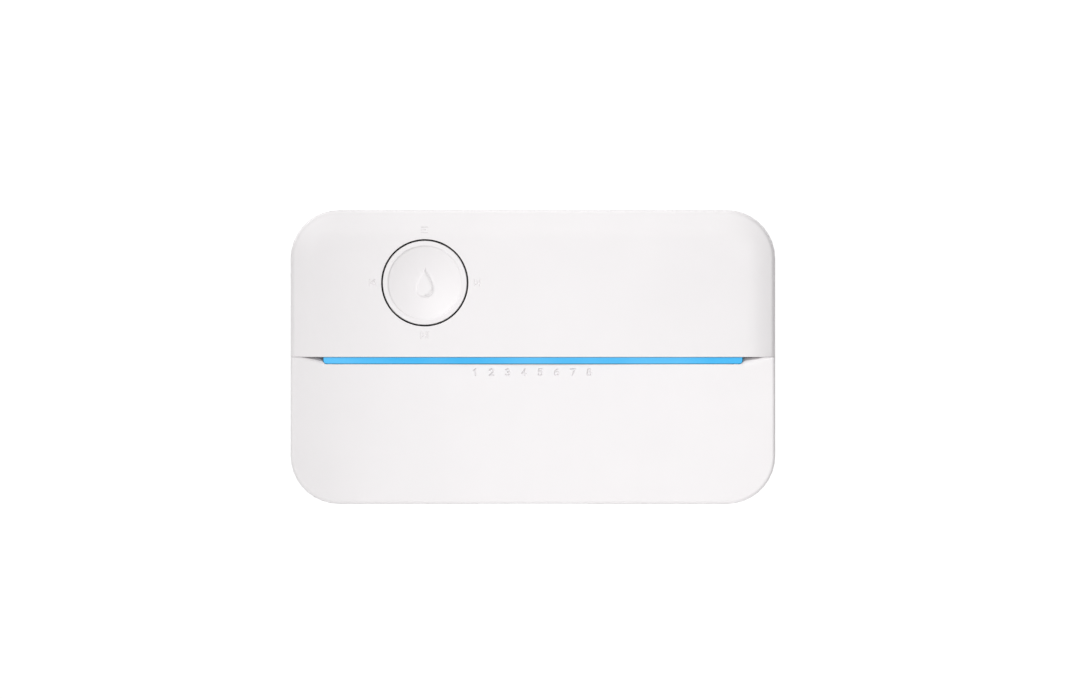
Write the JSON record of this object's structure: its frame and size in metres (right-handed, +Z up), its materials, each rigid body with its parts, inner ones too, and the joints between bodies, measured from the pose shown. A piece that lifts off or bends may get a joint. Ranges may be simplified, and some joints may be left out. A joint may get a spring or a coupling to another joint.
{
  "type": "irrigation controller",
  "caption": "Wall-mounted irrigation controller with a rocking round button, a lit status bar and a pull-off cover over lever terminals.",
  "frame": {"origin": "middle of the flat wall face on the back", "axes": "+X to the right, +Z up, the front looks along -Y, and +Y points into the wall"},
  "size_m": [0.231, 0.035, 0.14],
  "materials": {
    "rear_shell": "fine-textured moulded plastic, white",
    "front_shell": "smooth satin moulded plastic, white",
    "deck_plastic": "satin moulded plastic, white",
    "light_lens": "frosted lens, lit sky blue",
    "black_plastic": "matte black moulded plastic",
    "circuit_board": "green solder mask over glass fibre",
    "led_plastic": "white LED package",
    "chip_package": "moulded black chip package",
    "radio_can": "tinned steel shield",
    "capacitor_sleeve": "dark shrink sleeve",
    "ferrite": "bare ferrite",
    "fuse_ceramic": "ceramic cartridge",
    "varistor_coat": "blue epoxy coating",
    "terminal_plastic": "light grey moulded plastic",
    "lever_plastic": "dark grey moulded plastic",
    "spring_steel": "bright spring steel",
    "zinc_steel": "zinc-plated steel",
    "magnet_nickel": "nickel-plated magnet",
    "contact_brass": "plated brass contact",
    "acetal": "natural acetal",
    "label_film": "blank printed film",
    "pad_rubber": "soft black rubber"
  },
  "bodies": {
    "housing": {"rear_housing": "rear_shell", "front_fascia": "front_shell", "light_bar": "light_lens", "light_baffle": "black_plastic", "main_board": "circuit_board", "zone_leds": "led_plastic", "zone_triacs": "chip_package", "wifi_module": "radio_can", "microcontroller": "chip_package", "capacitors": "capacitor_sleeve", "inductor": "ferrite", "bridge_rectifier": "chip_package", "fuse": "fuse_ceramic", "fuse_clips": "contact_brass", "varistor": "varistor_coat", "dc_jack": "black_plastic", "dc_jack_pin": "contact_brass", "zone_terminal_block": "terminal_plastic", "sensor_terminal_block": "terminal_plastic", "clamp_springs": "spring_steel", "zone_lever_rod": "spring_steel", "sensor_lever_rod": "spring_steel", "terminal_deck": "deck_plastic", "label_strip": "label_film", "latch_plates": "zinc_steel", "button_sleeve": "black_plastic", "button_board": "circuit_board", "button_header": "black_plastic", "tact_switches": "radio_can", "centre_switch": "radio_can", "plunger_guide": "acetal", "return_spring": "spring_steel", "board_screws": "zinc_steel", "fascia_screws": "zinc_steel", "deck_screws": "zinc_steel", "button_board_screws": "zinc_steel", "rear_pads": "pad_rubber", "blank_label": "label_film"},
    "plunger": {"button_plunger": "acetal"},
    "cross": {"pivot_cross": "acetal"},
    "cap": {"button_cap": "front_shell"},
    "cover": {"wiring_cover": "front_shell", "cover_magnets": "magnet_nickel"},
    "zone_lever_1_body": {"zone_lever_1": "lever_plastic"},
    "zone_lever_2_body": {"zone_lever_2": "lever_plastic"},
    "zone_lever_3_body": {"zone_lever_3": "lever_plastic"},
    "zone_lever_4_body": {"zone_lever_4": "lever_plastic"},
    "zone_lever_5_body": {"zone_lever_5": "lever_plastic"},
    "zone_lever_6_body": {"zone_lever_6": "lever_plastic"},
    "zone_lever_7_body": {"zone_lever_7": "lever_plastic"},
    "zone_lever_8_body": {"zone_lever_8": "lever_plastic"},
    "zone_lever_9_body": {"zone_lever_9": "lever_plastic"},
    "zone_lever_10_body": {"zone_lever_10": "lever_plastic"},
    "zone_lever_11_body": {"zone_lever_11": "lever_plastic"},
    "zone_lever_12_body": {"zone_lever_12": "lever_plastic"},
    "sensor_lever_1_body": {"sensor_lever_1": "lever_plastic"},
    "sensor_lever_2_body": {"sensor_lever_2": "lever_plastic"},
    "sensor_lever_3_body": {"sensor_lever_3": "lever_plastic"},
    "sensor_lever_4_body": {"sensor_lever_4": "lever_plastic"}
  },
  "joints": [
    {"name": "button_press", "type": "slide", "parent": "housing", "child": "plunger", "axis": [0, 1, 0], "range_m": [0, 0.0008], "stiffness_N_per_m": 1500, "springref_m": -0.0005, "deforming": ["return_spring"]},
    {"name": "button_rock_up_down", "type": "hinge", "parent": "plunger", "child": "cross", "pos_m": [-0.0514, -0.025, 0.0353], "axis": [1, 0, 0], "range_deg": [-1.7, 1.7], "stiffness_Nm_per_rad": 0.5},
    {"name": "button_rock_left_right", "type": "hinge", "parent": "cross", "child": "cap", "pos_m": [-0.0514, -0.025, 0.0353], "axis": [0, 0, 1], "range_deg": [-1.7, 1.7], "stiffness_Nm_per_rad": 0.5},
    {"name": "cover_pull", "type": "slide", "parent": "housing", "child": "cover", "axis": [0, -1, 0], "range_m": [0, 0.05]},
    {"name": "zone_lever_1_press", "type": "hinge", "parent": "housing", "child": "zone_lever_1_body", "pos_m": [-0.01191, -0.0174, -0.0154], "axis": [1, 0, 0], "range_deg": [0, 12], "stiffness_Nm_per_rad": 0.05, "springref_deg": -11.46},
    {"name": "zone_lever_2_press", "type": "hinge", "parent": "housing", "child": "zone_lever_2_body", "pos_m": [-0.00429, -0.0174, -0.0154], "axis": [1, 0, 0], "range_deg": [0, 12], "stiffness_Nm_per_rad": 0.05, "springref_deg": -11.46},
    {"name": "zone_lever_3_press", "type": "hinge", "parent": "housing", "child": "zone_lever_3_body", "pos_m": [0.00333, -0.0174, -0.0154], "axis": [1, 0, 0], "range_deg": [0, 12], "stiffness_Nm_per_rad": 0.05, "springref_deg": -11.46},
    {"name": "zone_lever_4_press", "type": "hinge", "parent": "housing", "child": "zone_lever_4_body", "pos_m": [0.01095, -0.0174, -0.0154], "axis": [1, 0, 0], "range_deg": [0, 12], "stiffness_Nm_per_rad": 0.05, "springref_deg": -11.46},
    {"name": "zone_lever_5_press", "type": "hinge", "parent": "housing", "child": "zone_lever_5_body", "pos_m": [0.01857, -0.0174, -0.0154], "axis": [1, 0, 0], "range_deg": [0, 12], "stiffness_Nm_per_rad": 0.05, "springref_deg": -11.46},
    {"name": "zone_lever_6_press", "type": "hinge", "parent": "housing", "child": "zone_lever_6_body", "pos_m": [0.02619, -0.0174, -0.0154], "axis": [1, 0, 0], "range_deg": [0, 12], "stiffness_Nm_per_rad": 0.05, "springref_deg": -11.46},
    {"name": "zone_lever_7_press", "type": "hinge", "parent": "housing", "child": "zone_lever_7_body", "pos_m": [0.03381, -0.0174, -0.0154], "axis": [1, 0, 0], "range_deg": [0, 12], "stiffness_Nm_per_rad": 0.05, "springref_deg": -11.46},
    {"name": "zone_lever_8_press", "type": "hinge", "parent": "housing", "child": "zone_lever_8_body", "pos_m": [0.04143, -0.0174, -0.0154], "axis": [1, 0, 0], "range_deg": [0, 12], "stiffness_Nm_per_rad": 0.05, "springref_deg": -11.46},
    {"name": "zone_lever_9_press", "type": "hinge", "parent": "housing", "child": "zone_lever_9_body", "pos_m": [0.04905, -0.0174, -0.0154], "axis": [1, 0, 0], "range_deg": [0, 12], "stiffness_Nm_per_rad": 0.05, "springref_deg": -11.46},
    {"name": "zone_lever_10_press", "type": "hinge", "parent": "housing", "child": "zone_lever_10_body", "pos_m": [0.05667, -0.0174, -0.0154], "axis": [1, 0, 0], "range_deg": [0, 12], "stiffness_Nm_per_rad": 0.05, "springref_deg": -11.46},
    {"name": "zone_lever_11_press", "type": "hinge", "parent": "housing", "child": "zone_lever_11_body", "pos_m": [0.06429, -0.0174, -0.0154], "axis": [1, 0, 0], "range_deg": [0, 12], "stiffness_Nm_per_rad": 0.05, "springref_deg": -11.46},
    {"name": "zone_lever_12_press", "type": "hinge", "parent": "housing", "child": "zone_lever_12_body", "pos_m": [0.07191, -0.0174, -0.0154], "axis": [1, 0, 0], "range_deg": [0, 12], "stiffness_Nm_per_rad": 0.05, "springref_deg": -11.46},
    {"name": "sensor_lever_1_press", "type": "hinge", "parent": "housing", "child": "sensor_lever_1_body", "pos_m": [-0.05543, -0.0174, -0.0154], "axis": [1, 0, 0], "range_deg": [0, 12], "stiffness_Nm_per_rad": 0.05, "springref_deg": -11.46},
    {"name": "sensor_lever_2_press", "type": "hinge", "parent": "housing", "child": "sensor_lever_2_body", "pos_m": [-0.04781, -0.0174, -0.0154], "axis": [1, 0, 0], "range_deg": [0, 12], "stiffness_Nm_per_rad": 0.05, "springref_deg": -11.46},
    {"name": "sensor_lever_3_press", "type": "hinge", "parent": "housing", "child": "sensor_lever_3_body", "pos_m": [-0.04019, -0.0174, -0.0154], "axis": [1, 0, 0], "range_deg": [0, 12], "stiffness_Nm_per_rad": 0.05, "springref_deg": -11.46},
    {"name": "sensor_lever_4_press", "type": "hinge", "parent": "housing", "child": "sensor_lever_4_body", "pos_m": [-0.03257, -0.0174, -0.0154], "axis": [1, 0, 0], "range_deg": [0, 12], "stiffness_Nm_per_rad": 0.05, "springref_deg": -11.46}
  ]
}
